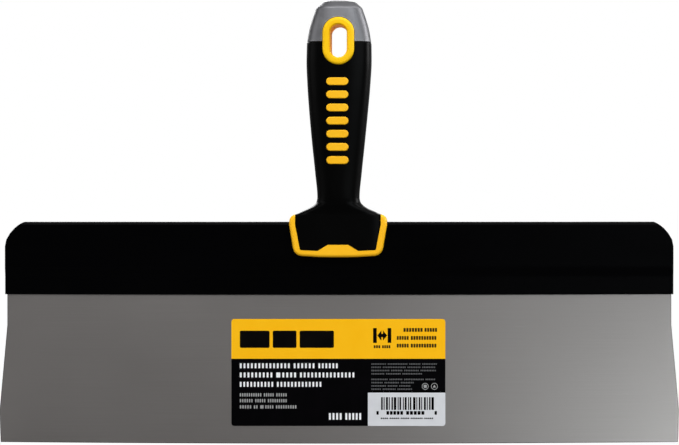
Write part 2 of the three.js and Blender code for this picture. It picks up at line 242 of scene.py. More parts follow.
handle_width = monotone([(z, a) for z, a, _ in HANDLE_PROFILE])
handle_depth = monotone([(z, b) for z, _, b in HANDLE_PROFILE])


def superellipse(half_width, half_depth, power, height, count=112):
    """Points round a superellipse at this height, evenly spaced along it, from +X."""
    dense = []
    steps = 720
    for k in range(steps + 1):
        t = 2 * math.pi * k / steps
        c, s = math.cos(t), math.sin(t)
        x = half_width * math.copysign(abs(c) ** (2 / power), c)
        y = half_depth * math.copysign(abs(s) ** (2 / power), s)
        dense.append((x, y))
    lengths = [0.0]
    for (x0, y0), (x1, y1) in zip(dense, dense[1:]):
        lengths.append(lengths[-1] + math.hypot(x1 - x0, y1 - y0))
    ring, k = [], 0
    for i in range(count):
        wanted = lengths[-1] * i / count
        while lengths[k + 1] < wanted:
            k += 1
        t = (wanted - lengths[k]) / max(lengths[k + 1] - lengths[k], 1e-9)
        (x0, y0), (x1, y1) = dense[k], dense[k + 1]
        ring.append((x0 + (x1 - x0) * t + lean(height), y0 + (y1 - y0) * t, height))
    return ring


def front_surface(x, height):
    """How far the handle's surface is from the mid plane, at this X and height."""
    power = squareness(height)
    share = min(abs(x - lean(height)) / handle_width(height), 1)
    return handle_depth(height) * (1 - share**power) ** (1 / power)


def rounded_outline(corners, steps=8):
    """Points of a closed outline whose corners are (x, z, radius), each rounded off."""
    points = []
    for i, (x, z, radius) in enumerate(corners):
        here = Vector((x, z))
        before = Vector(corners[i - 1][:2]) - here
        after = Vector(corners[(i + 1) % len(corners)][:2]) - here
        turn = math.pi - before.angle(after)
        run = radius * math.tan(turn / 2)
        if run < 1e-6:
            points.append((x, z))
            continue
        start = here + before.normalized() * run
        end = here + after.normalized() * run
        for k in range(steps + 1):
            t = k / steps
            p = start * (1 - t) ** 2 + here * 2 * t * (1 - t) + end * t * t
            points.append((p.x, p.y))
    return points


def mirrored(right_half, middle=0.0):
    """Both halves of an outline that is the same to the left and right of the middle."""
    whole = right_half + [(-x, z, radius) for x, z, radius in reversed(right_half)]
    return [(x + middle, z, radius) for x, z, radius in whole]


def inset(points, distance):
    """The outline drawn in by this distance, for outlines that run anticlockwise."""
    drawn = []
    for i, (x, z) in enumerate(points):
        before = (Vector((x, z)) - Vector(points[i - 1])).normalized()
        after = (Vector(points[(i + 1) % len(points)]) - Vector((x, z))).normalized()
        along = (before + after).normalized()
        normal = Vector((-along.y, along.x))
        stretch = 1 / max(along.dot(after), 0.3)
        drawn.append((x + normal.x * distance * stretch, z + normal.y * distance * stretch))
    return drawn


def prism(name, outline, front, rear, round_front=0.0, round_rear=0.0, steps=5):
    """A body with this front outline between two Y values, its edges rounded off."""
    levels = []
    if round_front:
        for k in range(steps):
            angle = math.pi / 2 * k / steps
            levels.append((round_front * (1 - math.sin(angle)), front + round_front * (1 - math.cos(angle))))
    levels.append((0, front + round_front))
    levels.append((0, rear - round_rear))
    if round_rear:
        for k in range(steps - 1, -1, -1):
            angle = math.pi / 2 * k / steps
            levels.append((round_rear * (1 - math.sin(angle)), rear - round_rear * (1 - math.cos(angle))))
    rings = []
    for distance, y in levels:
        drawn = inset(outline, distance) if distance else outline
        rings.append([(x, y, z) for x, z in drawn])
    return skin(name, rings)


def stadium(radius, straight, centre=None, steps=32):
    """An upright stadium outline, anticlockwise from its right side."""
    centre = RING_CENTRE if centre is None else centre
    points = []
    for k in range(steps + 1):
        t = math.pi * k / steps
        points.append((radius * math.cos(t), centre + straight + radius * math.sin(t)))
    for k in range(steps + 1):
        t = math.pi + math.pi * k / steps
        points.append((radius * math.cos(t), centre - straight + radius * math.sin(t)))
    return points


# ---- Materials ----


class Shader:
    """A node material round one Principled BSDF, with its coordinates in metres."""

    def __init__(self, name, **inputs):
        self.material = bpy.data.materials.new(name)
        self.material.use_nodes = True
        self.tree = self.material.node_tree
        self.surface = self.tree.nodes["Principled BSDF"]
        self.place = self.tree.nodes.new("ShaderNodeTexCoord").outputs["Object"]
        for key, value in inputs.items():
            self.surface.inputs[key.replace("_", " ")].default_value = value

    def link(self, value, socket):
        if isinstance(value, (int, float, tuple)):
            socket.default_value = value
        else:
            self.tree.links.new(value, socket)

    def set(self, name, value):
        self.link(value, self.surface.inputs[name])

    def noise(self, scale, detail=2.0, roughness=0.5):
        """Noise from 0 to 1. Scale is cells per metre along X, Y and Z."""
        mapping = self.tree.nodes.new("ShaderNodeMapping")
        mapping.inputs["Scale"].default_value = scale
        self.tree.links.new(self.place, mapping.inputs["Vector"])
        texture = self.tree.nodes.new("ShaderNodeTexNoise")
        texture.inputs["Scale"].default_value = 1.0
        texture.inputs["Detail"].default_value = detail
        texture.inputs["Roughness"].default_value = roughness
        self.tree.links.new(mapping.outputs["Vector"], texture.inputs["Vector"])
        return texture.outputs["Fac"]

    def remap(self, value, low, high, to_low, to_high):
        node = self.tree.nodes.new("ShaderNodeMapRange")
        node.inputs["From Min"].default_value = low
        node.inputs["From Max"].default_value = high
        node.inputs["To Min"].default_value = to_low
        node.inputs["To Max"].default_value = to_high
        self.tree.links.new(value, node.inputs["Value"])
        return node.outputs["Result"]

    def math(self, operation, first, second=0.0):
        node = self.tree.nodes.new("ShaderNodeMath")
        node.operation = operation
        self.link(first, node.inputs[0])
        self.link(second, node.inputs[1])
        return node.outputs[0]

    def mix(self, factor, first, second):
        """A colour between two, either of which is a colour or a socket."""
        node = self.tree.nodes.new("ShaderNodeMix")
        node.data_type = "RGBA"
        self.link(factor, node.inputs["Factor"])
        self.link(first, node.inputs["A_Color"] if "A_Color" in node.inputs else node.inputs[6])
        self.link(second, node.inputs["B_Color"] if "B_Color" in node.inputs else node.inputs[7])
        return node.outputs[2]

    def bump(self, height, strength, distance):
        node = self.tree.nodes.new("ShaderNodeBump")
        node.inputs["Strength"].default_value = strength
        node.inputs["Distance"].default_value = distance
        self.link(height, node.inputs["Height"])
        self.set("Normal", node.outputs["Normal"])

    def edges(self, low=0.52, high=0.6):
        """1 on convex edges, 0 elsewhere."""
        node = self.tree.nodes.new("ShaderNodeNewGeometry")
        return self.remap(node.outputs["Pointiness"], low, high, 0, 1)

    def height(self):
        node = self.tree.nodes.new("ShaderNodeSeparateXYZ")
        self.tree.links.new(self.place, node.inputs["Vector"])
        return node.outputs["Z"]


def srgb(red, green, blue):
    """A colour as 0 to 255 display values, turned into a linear one."""

    def linear(value):
        value /= 255
        return value / 12.92 if value <= 0.04045 else ((value + 0.055) / 1.055) ** 2.4

    return (linear(red), linear(green), linear(blue), 1.0)


def blade_steel():
    """Stainless sheet: satin, with a faint grain along the blade and soft blotches; its thin side faces are
    painted dark, a painted reflection of the dark surroundings.
    """
    shader = Shader("blade_steel", Metallic=1.0, Anisotropic=0.3)
    across = shader.tree.nodes.new("ShaderNodeCombineXYZ")
    across.inputs["Z"].default_value = 1.0
    shader.set("Tangent", across.outputs[0])
    grain = shader.noise((16, 40, 3600), 4, 0.6)
    blotches = shader.noise((9, 9, 15), 3)
    scratch = shader.remap(shader.noise((60, 60, 2600), 1), 0.74, 0.79, 0, 1)
    tone = shader.remap(grain, 0.25, 0.75, 0.0, 1.0)
    colour = shader.mix(tone, srgb(146, 142, 140), srgb(152, 148, 146))
    colour = shader.mix(shader.math("MULTIPLY", scratch, 0.12), colour, srgb(200, 200, 200))
    rim = shader.tree.nodes.new("ShaderNodeAttribute")
    rim.attribute_name = "rim"
    # Painted reflection: the side faces marked in "rim" are painted dark grey, standing in for the dark that
    # they reflect.
    painted_dark_edge = shader.remap(rim.outputs["Fac"], 0.0, 0.6, 0.0, 0.75)
    shader.set("Base Color", shader.mix(painted_dark_edge, colour, srgb(52, 51, 50)))
    rough = shader.remap(grain, 0.2, 0.8, 0.34, 0.38)
    shader.set("Roughness", shader.math("ADD", rough, shader.remap(blotches, 0.3, 0.7, -0.02, 0.03)))
    shader.bump(grain, 0.04, 0.00001)
    return shader.material


def plain_steel():
    """Rolled steel of the hidden tang and rivets."""
    shader = Shader("tang_steel", Metallic=1.0)
    mottling = shader.noise((300, 300, 300), 4)
    shader.set("Base Color", shader.mix(mottling, srgb(140, 138, 134), srgb(165, 163, 160)))
    shader.set("Roughness", shader.remap(mottling, 0.2, 0.8, 0.4, 0.6))
    shader.bump(shader.noise((1500, 1500, 1500), 2), 0.15, 0.00003)
    return shader.material


def back_paint():
    """Black paint on folded steel: faint orange peel, and a trace of wear on the edges."""
    shader = Shader("back_paint", Specular_IOR_Level=0.03)
    peel = shader.noise((700, 700, 700), 2)
    blotches = shader.noise((14, 14, 40), 3)
    colour = shader.mix(blotches, srgb(1, 1, 1.5), srgb(2, 2, 3))
    worn = shader.math("MULTIPLY", shader.edges(0.53, 0.62), shader.remap(shader.noise((90, 90, 90), 4), 0.45, 0.7, 0, 0.5))
    shader.set("Base Color", shader.mix(worn, colour, srgb(40, 40, 42)))
    shader.set("Roughness", shader.remap(blotches, 0.3, 0.7, 0.18, 0.26))
    shader.bump(peel, 0.10, 0.00004)
    return shader.material


def yellow_plastic(name, light, dark, sheen):
    """Moulded yellow plastic with a slight sheen and very fine texture."""
    shader = Shader(name, Specular_IOR_Level=sheen)
    flow = shader.noise((60, 60, 60), 3)
    shader.set("Base Color", shader.mix(shader.remap(flow, 0.3, 0.7, 0, 1), dark, light))
    shader.set("Roughness", shader.remap(flow, 0.3, 0.7, 0.36, 0.46))
    shader.bump(shader.noise((2200, 2200, 2200), 2), 0.08, 0.00003)
    return shader.material


def grip_rubber():
    """Black soft overmould: matte, finely textured, a little shinier where it is handled."""
    shader = Shader("grip_rubber", Specular_IOR_Level=0.045)
    texture = shader.noise((3200, 3200, 3200), 2)
    handled = shader.noise((45, 45, 30), 3)
    shader.set("Base Color", shader.mix(handled, srgb(0.8, 0.8, 0.8), srgb(2, 2, 2)))
    shader.set("Roughness", shader.remap(handled, 0.3, 0.7, 0.30, 0.38))
    shader.bump(texture, 0.2, 0.00003)
    return shader.material


def cap_metal():
    """Satin grey steel, softly blasted, with its convex edges painted brighter: a painted highlight that also
    stands for wear.
    """
    shader = Shader("cap_metal", Metallic=1.0)
    blast = shader.noise((2600, 2600, 2600), 2)
    clouds = shader.noise((120, 120, 160), 4)
    colour = shader.mix(shader.remap(clouds, 0.3, 0.7, 0, 1), srgb(106, 106, 109), srgb(118, 118, 121))
    # Painted highlight: convex edges are lifted towards light grey, standing in for the glint along them as well
    # as wear.
    colour = shader.mix(shader.math("MULTIPLY", shader.edges(0.51, 0.56), 0.5), colour, srgb(190, 190, 193))
    shader.set("Base Color", colour)
    shader.set("Roughness", shader.remap(clouds, 0.3, 0.7, 0.42, 0.52))
    shader.bump(blast, 0.18, 0.00003)
    return shader.material


def print_film(name, light, dark, roughness=0.42):
    """One printed colour of the coated label."""
    shader = Shader(name, Specular_IOR_Level=0.03)
    fibre = shader.noise((900, 900, 900), 3)
    cloud = shader.noise((70, 70, 70), 3)
    shader.set("Base Color", shader.mix(shader.remap(cloud, 0.3, 0.7, 0, 1), dark, light))
    shader.set("Roughness", shader.remap(cloud, 0.3, 0.7, roughness - 0.04, roughness + 0.05))
    shader.bump(fibre, 0.06, 0.00003)
    return shader.material


# ---- Blade ----


def build_blade(material):
    """The sheet: a crowned working edge, sharp corners, straight flares, and dulled edges all round."""
    half_width = monotone([(0, 202.6), (20, 203.2)])
    flare_start, flare_end, upper = 20.0, 71.0, 198.6

    def side(z):
        if z <= flare_start:
            return half_width(z)
        share = min((z - flare_start) / (flare_end - flare_start), 1)
        return BLADE_HIGH.x + (upper - BLADE_HIGH.x) * share

    crown = 1.0
    bottom = [(202.6 * k / 48, crown * (k / 48) ** 2) for k in range(-48, 49)]
    heights = [6, 12, flare_start - 1.5, flare_start, flare_start + 1.5, 45, flare_end - 1.5]
    heights += [flare_end, flare_end + 1.5, 90, BLADE_HIGH.z]
    right = [(side(z), z) for z in heights]
    left = [(-x, z) for x, z in reversed(right)]
    outline = bottom + right + left
    half = BLADE_HIGH.y
    rim, bevel = 0.5, 0.06
    edge = inset(outline, rim)
    rings = [[(x, y, z) for x, z in line] for line, y in (
        (edge, -half), (outline, bevel - half), (outline, half - bevel), (edge, half)
    )]
    blade = skin("blade_sheet", rings)
    # Marks the sheet's thin side faces, which the steel paints dark as a painted reflection.
    shade = blade.data.attributes.new("rim", "FLOAT", "POINT")
    for vertex, value in zip(blade.data.vertices, shade.data):
        value.value = 1.0 if abs(vertex.co.y) < (half - bevel / 2) * MM else 0.0
    return finish_piece(blade, material, "blade_steel", "blade", angle=50)


# ---- Blade back ----


def back_end(height):
    """Half the back's length at this height: straight, then cut on an arc at the top corner."""
    end, drop, run, radius = BACK_HIGH.x, 12.8, 11.5, 21.5
    start = BACK_HIGH.z - drop
    if height <= start:
        return end
    chord = Vector((-run, drop))
    middle = Vector((end, start)) + chord / 2
    rise = math.sqrt(radius**2 - chord.length_squared / 4)
    centre = middle + Vector((-chord.y, chord.x)).normalized() * rise
    return centre.x + math.sqrt(radius**2 - (height - centre.y) ** 2)


def fold_path(offset):
    """The strip's folded section as (y, z), at this distance from the middle of the sheet."""
    fold_radius, fold_centre = 1.7, BACK_HIGH.z - 2.1
    half = [(0.7, BACK_LOW.z), (0.7, 91.5), (0.7, 94.0), (0.7, 97.0), (0.7, 99.8)]
    half += [(0.7 + smoothstep(z, 99.8, 106.2), z) for z in spread(100.2, 106.2, 0.5)]
    half += [(1.7, z) for z in (108.0, 112.0, 118.0, 122.0, 126.0, 129.0)]
    arc = []
    for k in range(0, 25):
        t = math.pi * k / 24
        arc.append((fold_radius * math.cos(t), fold_centre + fold_radius * math.sin(t)))
    line = half + arc + [(-y, z) for y, z in reversed(half)]
    shifted = []
    for i, (y, z) in enumerate(line):
        before, after = Vector(line[max(i - 1, 0)]), Vector(line[min(i + 1, len(line) - 1)])
        along = (after - before).normalized()
        shifted.append((y + along.y * offset, z - along.x * offset))
    return shifted


def build_back(material):
    """The folded channel as one sheet with open ends, slotted through its fold for the tang."""
    half_sheet, slot, bow = 0.4, 12.4, 0.4
    outer, inner = fold_path(half_sheet), fold_path(-half_sheet)
    shares = sorted({k / 40 for k in range(-40, 41)} | {0.998, -0.998, 0.992, -0.992})
    rows, columns = len(outer), len(shares)

    def point(path, i, u):
        y, z = path[i]
        lip = 1 - smoothstep(z, BACK_LOW.z, 97)
        return (u * back_end(min(outer[i][1], BACK_HIGH.z)), y, z + bow * u * u * lip)

    vertices = [point(outer, i, u) for i in range(rows) for u in shares]
    vertices += [point(inner, i, u) for i in range(rows) for u in shares]
    under = rows * columns

    def cut_away(i, j):
        low, high = outer[i], outer[i + 1]
        at_fold = min(low[1], high[1]) > BACK_HIGH.z - 1.35
        middle = (shares[j] + shares[j + 1]) / 2 * BACK_HIGH.x
        return at_fold and abs(middle) < slot

    kept = {(i, j) for i in range(rows - 1) for j in range(columns - 1) if not cut_away(i, j)}
    faces = []
    for i, j in kept:
        a, b = i * columns + j, i * columns + j + 1
        c, d = (i + 1) * columns + j + 1, (i + 1) * columns + j
        faces += [(a, b, c, d), (under + a, under + d, under + c, under + b)]
        for (di, dj), (p, q) in {(-1, 0): (a, b), (1, 0): (c, d), (0, -1): (d, a), (0, 1): (b, c)}.items():
            if (i + di, j + dj) not in kept:
                faces.append((p, under + p, under + q, q))
    back = mesh_object("back_channel", vertices, faces)
    bevel = back.modifiers.new("dulled", "BEVEL")
    bevel.width = 0.18 * MM
    bevel.segments = 2
    bevel.limit_method = "ANGLE"
    bevel.angle_limit = math.radians(50)
    freeze(back)
    return finish_piece(back, material, "back_paint", "blade_back", angle=40)


# ---- Foot and core ----


def foot_outline():
    """The yellow frame's outer outline: it leans outwards, and its lower edge bows down a little."""
    return rounded_outline(
        mirrored(
            [
                (0.01, FOOT_BOTTOM, 0),
                (11, FOOT_BOTTOM + 0.1, 120),
                (26.1, FOOT_BOTTOM + 1.0, 6.3),
                (29.2, 131.3, 10),
                (28.75, 136.1, 4.5),
                (24.6, 137.55, 0),
            ],
            HANDLE_ASIDE,
        )
    )


def foot_opening(grow=0.0, top=138.0, reach=None):
    """The opening inside the frame, with the low bump in the middle of its lower edge."""
    reach = 25.5 + grow if reach is None else reach
    return rounded_outline(
        mirrored(
            [
                (6.1, 118.95 - grow, 1.5),
                (12.2, 115.3 - grow, 1.5),
                (22.6 + grow, 115.8 - grow, 1),
                (25.6 + grow, 131.4, 8),
                (reach, top, 0),
            ],
            HANDLE_ASIDE,
        )
    )


def handle_rings(heights, drawn_in=0.0, count=112):
    """Sections of the handle at these heights, each drawn in by the same amount."""
    rings = []
    for z in heights:
        half_width, half_depth = handle_width(z) - drawn_in, handle_depth(z) - drawn_in
        rings.append(superellipse(half_width, half_depth, squareness(z), z, count))
    return rings


def spread(low, high, step):
    """Evenly spaced heights from low to high, both included."""
    count = max(2, round((high - low) / step))
    return [low + (high - low) * k / count for k in range(count + 1)]


CREASE_SOFTNESS = 0.8


def cap_size(height):
    """The cap's half width and half depth, its creases softened over a millimetre."""
    curve_width = monotone([(z, a) for z, a, _ in CAP_CURVE])
    curve_depth = monotone([(z, b) for z, _, b in CAP_CURVE])

    def raw(z):
        if z <= CAP_CURVE[-1][0]:
            return Vector((curve_width(z), curve_depth(z)))
        for (z0, a0, b0), (z1, a1, b1) in zip(CAP_BEVEL, CAP_BEVEL[1:]):
            if z <= z1:
                t = (z - z0) / (z1 - z0)
                return Vector((a0 + (a1 - a0) * t, b0 + (b1 - b0) * t))
        return Vector(CAP_BEVEL[-1][1:])

    reach = min(CREASE_SOFTNESS, CAP_HIGH.z - height)
    samples = [raw(height + reach * k / 6) for k in range(-6, 7)]
    return sum(samples, Vector((0, 0))) / len(samples)


def cap_rings(heights, drawn_in=0.0, count=128):
    rings = []
    for z in heights:
        size = cap_size(z)
        rings.append(superellipse(size.x - drawn_in, size.y - drawn_in, squareness(z), z, count))
    return rings


def core_envelope(name, grow=0.0):
    """The inside of the handle: what the grip and the cap are shaped round."""
    drawn_in = SKIN + GAP - grow
    lower = handle_rings([SLOT_TOP] + spread(137.9, 148, 1.0) + spread(151, SEAM - 0.6, 4.0), drawn_in, 64)
    upper = cap_rings(spread(SEAM + 0.6, 259.4 + grow, 3.0), drawn_in, 64)
    return skin(name, lower + upper)


def ring_bore(name):
    return prism(name, stadium(RING_SLEEVE + GAP, RING_STRAIGHT), -20, 20)


def lip_seats():
    """The two flat-bottomed pockets that the hang ring's lips sit in."""
    seat = 12.0
    outline = stadium(RING_LIP + GAP, LIP_STRAIGHT)
    return [prism("seat_front", outline, -20, -seat), prism("seat_rear", outline, seat, 20)]


def mark_centre(index):
    pitch = (MARKS_TOP - MARKS_BOTTOM - MARK_HEIGHT) / (MARK_COUNT - 1)
    return MARKS_BOTTOM + MARK_HEIGHT / 2 + index * pitch


def pill(centre, radius, reach, steps=10):
    """A level pill outline, anticlockwise."""
    points = []
    for k in range(steps + 1):
        t = -math.pi / 2 + math.pi * k / steps
        points.append((MARKS_ASIDE + reach + radius * math.cos(t), centre + radius * math.sin(t)))
    for k in range(steps + 1):
        t = math.pi / 2 + math.pi * k / steps
        points.append((MARKS_ASIDE - reach + radius * math.cos(t), centre + radius * math.sin(t)))
    return points


def mark_windows():
    """Cutters for the windows that the raised marks stand in, front and rear."""
    windows = []
    reach = MARK_HALF_WIDTH - MARK_HEIGHT / 2
    for index in range(MARK_COUNT):
        centre = mark_centre(index)
        outline = pill(centre, MARK_HEIGHT / 2 + 0.2, reach)
        depth = handle_depth(centre)
        windows.append(prism("window", outline, -depth - 3, -depth + 4))
        windows.append(prism("window", outline, depth - 4, depth + 3))
    return windows


def build_mark(index, side, material):
    """One raised bar: its face follows the grip's curve and its edge is rounded over."""
    centre = mark_centre(index)
    reach = MARK_HALF_WIDTH - MARK_HEIGHT / 2
    radius = MARK_HEIGHT / 2
    proud, edge = 0.35, 0.45
    rings = []

    def ring(drawn_in, lift):
        outline = pill(centre, radius - drawn_in, reach)
        rings.append([(x, side * (front_surface(x, z) + lift), z) for x, z in outline])

    flat = pill(centre, radius, reach)
    rings.append([(x, side * (handle_depth(centre) - 4.2), z) for x, z in flat])
    ring(0, -1.0)
    for k in range(0, 5):
        angle = math.pi / 2 * k / 4
        ring(edge * (1 - math.cos(angle)), proud - edge + edge * math.sin(angle))
    for share in (0.4, 0.6, 0.8, 0.97):
        ring(radius * share, proud)
    name = f"mark_{'front' if side < 0 else 'rear'}_{index + 1}"
    return finish_piece(skin(name, rings), material, "yellow_plastic")


def build_core(material):
    """The yellow moulding: the frame round the foot, the web inside it and the body in the handle."""
    depth = CORE_FOOT_DEPTH
    core = prism("core_moulding", foot_outline(), -depth, depth, 1.8, 1.8, steps=7)
    web = 5.0
    opening = foot_opening()
    left, right = HANDLE_ASIDE - 25.4, HANDLE_ASIDE + 25.4
    combine(
        core,
        [
            prism("opening_front", opening, -20, -web),
            prism("opening_rear", opening, web, 20),
            prism("gate", [(left, 134.5), (right, 134.5), (right, 142), (left, 142)], -20, 20),
        ],
        "DIFFERENCE",
    )
    combine(core, [core_envelope("core_body")], "UNION")
    back_slot = [(-60, 100), (60, 100), (60, SLOT_TOP), (-60, SLOT_TOP)]
    pocket = [(-19, 115), (19, 115), (19, 126), (-19, 126)]
    tang_room = rounded_outline(
        mirrored(
            [
                (22.3, 108.5, 2),
                (22.3, 130.1, 2),
                (12.3, 130.1, 0),
                (12.3, 136, 6),
                (7.9, 147, 10),
                (8.9, 175, 30),
                (12.8, 224, 30),
                (12.8, 245, 10),
                (10.3, 257.3, 4),
            ]
        ),
        steps=6,
    )
    combine(
        core,
        [
            prism("slot", back_slot, -2.4, 2.4),
            prism("pocket", pocket, -3.9, 3.9),
            prism("tang_room", tang_room, -1.5, 1.5),
            ring_bore("bore"),
        ],
        "DIFFERENCE",
    )
    return finish_piece(core, material, "yellow_plastic", "handle_core", angle=30)


CORE_FOOT_DEPTH = 8.25


# ---- Grip ----


def build_grip(material):
    """The black overmould: one shape from the foot's infill over the shoulders up to the cap."""
    low, high = 112.0, GRIP_HIGH.z
    edge = 0.45
    heights = [low, 118, 124, 130, 134] + spread(136, 149, 0.4) + spread(150.2, high - 1.2, 1.4)
    rings = []
    for z in heights:
        rings.append(superellipse(handle_width(z), handle_depth(z), squareness(z), z))
    for k in range(0, 5):
        angle = math.pi / 2 * k / 4
        z = high - edge + edge * math.sin(angle)
        drawn_in = edge * (1 - math.cos(angle))
        rings.append(
            superellipse(handle_width(z) - drawn_in, handle_depth(z) - drawn_in, squareness(z), z)
        )
    grip = skin("grip_moulding", rings)
    keep = rounded_outline(
        mirrored(
            [
                (6.1, 118.95 + INFILL_GAP, 1.5),
                (12.2, 115.3 + INFILL_GAP, 1.5),
                (22.6 - INFILL_GAP, 115.8 + INFILL_GAP, 1),
                (25.6 - INFILL_GAP, 131.4, 8),
                (25.5 - INFILL_GAP, 136.9, 0),
                (40, 136.9, 0),
                (40, 250, 0),
            ],
            HANDLE_ASIDE,
        )
    )
    combine(grip, [prism("keep", keep, -30, 30)], "INTERSECT")
    web_room = [(-40, 100), (40, 100), (40, 134.5 + GAP), (-40, 134.5 + GAP)]
    cutters = [prism("web_room", web_room, -5 - GAP, 5 + GAP), core_envelope("inside", GAP)]
    cutters += [ring_bore("bore")] + lip_seats() + mark_windows()
    combine(grip, cutters, "DIFFERENCE")
    return finish_piece(grip, material, "grip_rubber", "grip", angle=30)


# ---- End cap ----


def build_cap(material):
    """The hammer end: a hollow metal shell, bevelled down to a flat striking face."""
    edge = 0.35
    low = CAP_LOW.z
    rings = []
    for k in range(0, 4):
        angle = math.pi / 2 * k / 4
        z = low + edge * (1 - math.cos(angle))
        drawn_in = edge * (1 - math.sin(angle))
        size = cap_size(z)
        rings.append(superellipse(size.x - drawn_in, size.y - drawn_in, squareness(z), z, 144))
    crease = CAP_CURVE[-1][0]
    heights = spread(low + edge, crease - 1, 0.9) + spread(crease - 0.9, crease + 1, 0.15)
    heights += spread(crease + 1.2, 263.4, 0.3) + spread(263.5, CAP_HIGH.z - 0.02, 0.1) + [CAP_HIGH.z]
    rings += cap_rings(heights, 0.0, 144)
    top = rings[-1]
    rings += [[(x * share, y * share, z) for x, y, z in top] for share in (0.75, 0.45, 0.15)]
    cap = skin("hammer_cap", rings)
    inner = cap_rings([SEAM - 2] + spread(SEAM + 1, 259.7, 2.5), SKIN, 72)
    cutters = [skin("hollow", inner), ring_bore("bore")] + lip_seats()
    combine(cap, cutters, "DIFFERENCE")
    return finish_piece(cap, material, "cap_metal", "end_cap", angle=30)


# ---- Hang ring ----


def build_ring(side, material):
    """Half of the eyelet: a crowned lip, a rounded mouth, and a straight sleeve to the middle."""
    lip_face, lip_seat = abs(RING_LOW.y), 12.3
    mouth, throat, brow = 1.1, 2.6, 1.8
    profile = [(RING_HOLE, 0.15), (RING_HOLE, 4), (RING_HOLE, 8), (RING_HOLE, lip_face - throat - 1)]
    for k in range(0, 9):
        angle = math.pi / 2 * k / 8
        profile.append((RING_HOLE + mouth * (1 - math.cos(angle)), lip_face - throat + throat * math.sin(angle)))
    for k in range(0, 9):
        angle = math.pi / 2 * (1 - k / 8)
        profile.append((RING_LIP - brow * (1 - math.cos(angle)), lip_face - brow + brow * math.sin(angle)))
    profile += [(RING_LIP, lip_seat + 0.3), (RING_LIP - 0.3, lip_seat), (RING_SLEEVE + 0.2, lip_seat)]
    profile += [(RING_SLEEVE, lip_seat - 0.2), (RING_SLEEVE, 6), (RING_SLEEVE, 0.15)]
    rings = []
    for radius, y in profile:
        share = (radius - RING_HOLE) / (RING_LIP - RING_HOLE)
        straight = RING_STRAIGHT + (LIP_STRAIGHT - RING_STRAIGHT) * share
        rings.append([(x, side * y, z) for x, z in stadium(radius, straight)])
    name = "hang_ring_front_half" if side < 0 else "hang_ring_rear_half"
    node = "hang_ring_front" if side < 0 else "hang_ring_rear"
    return finish_piece(loop_skin(name, rings), material, "yellow_plastic", node, angle=40)


# ---- Label ----


class Print:
    """Flat printed marks of one colour, gathered into one thin mesh."""

    def __init__(self, shift=(0.0, 0.0)):
        self.vertices, self.faces = [], []
        self.shift = shift

    def shape(self, outline, lift=0.03):
        """Adds one closed mark with this outline, standing proud of the film by lift."""
        film = LABEL_LOW.y
        outline = [(x + self.shift[0], z + self.shift[1]) for x, z in outline]
        count, first = len(outline), len(self.vertices)
        self.vertices += [(x, film - lift, z) for x, z in outline]
        self.vertices += [(x, film + 0.02, z) for x, z in outline]
        front = tuple(range(first, first + count))
        self.faces += [front, tuple(range(first + 2 * count - 1, first + count - 1, -1))]
        for i in range(count):
            j = (i + 1) % count
            self.faces.append((first + i, first + count + i, first + count + j, first + j))

    def bar(self, left, low, right, high, lift=0.03):
        self.shape([(left, low), (right, low), (right, high), (left, high)], lift)

    def soft_bar(self, left, low, right, high, radius, lift=0.03):
        corners = [(left, low, radius), (right, low, radius), (right, high, radius), (left, high, radius)]
        self.shape(rounded_outline(corners, 4), lift)

    def words(self, left, low, high, lengths, gap, pitch=None, open_share=0.22, lift=0.03):
        """A line of plain blocks that stands for a line of words, each one block or a row of small ones."""
        x = left
        for length in lengths:
            count = max(1, round(length / pitch)) if pitch else 1
            step = length / count
            space = open_share * step if count > 1 else 0
            for k in range(count):
                start = x + k * step
                self.soft_bar(start, low, start + step - space, high, min(0.3, (high - low) / 3), lift)
            x += length + gap

    def build(self, name, material):
        return finish_piece(mesh_object(name, self.vertices, self.faces), material, "label_print", angle=60)


def label_film(material):
    """The sticker's body: black film with rounded corners."""
    radius = 2.0
    corners = [
        (LABEL_LOW.x, LABEL_LOW.z, radius),
        (LABEL_HIGH.x, LABEL_LOW.z, radius),
        (LABEL_HIGH.x, LABEL_HIGH.z, radius),
        (LABEL_LOW.x, LABEL_HIGH.z, radius),
    ]
    film = prism("label_film", rounded_outline(corners, 8), LABEL_LOW.y, LABEL_HIGH.y, 0.05, 0, steps=2)
    return finish_piece(film, material, "label_print", "label", angle=50)


PRINT_SHIFT = (-0.2, -0.3)


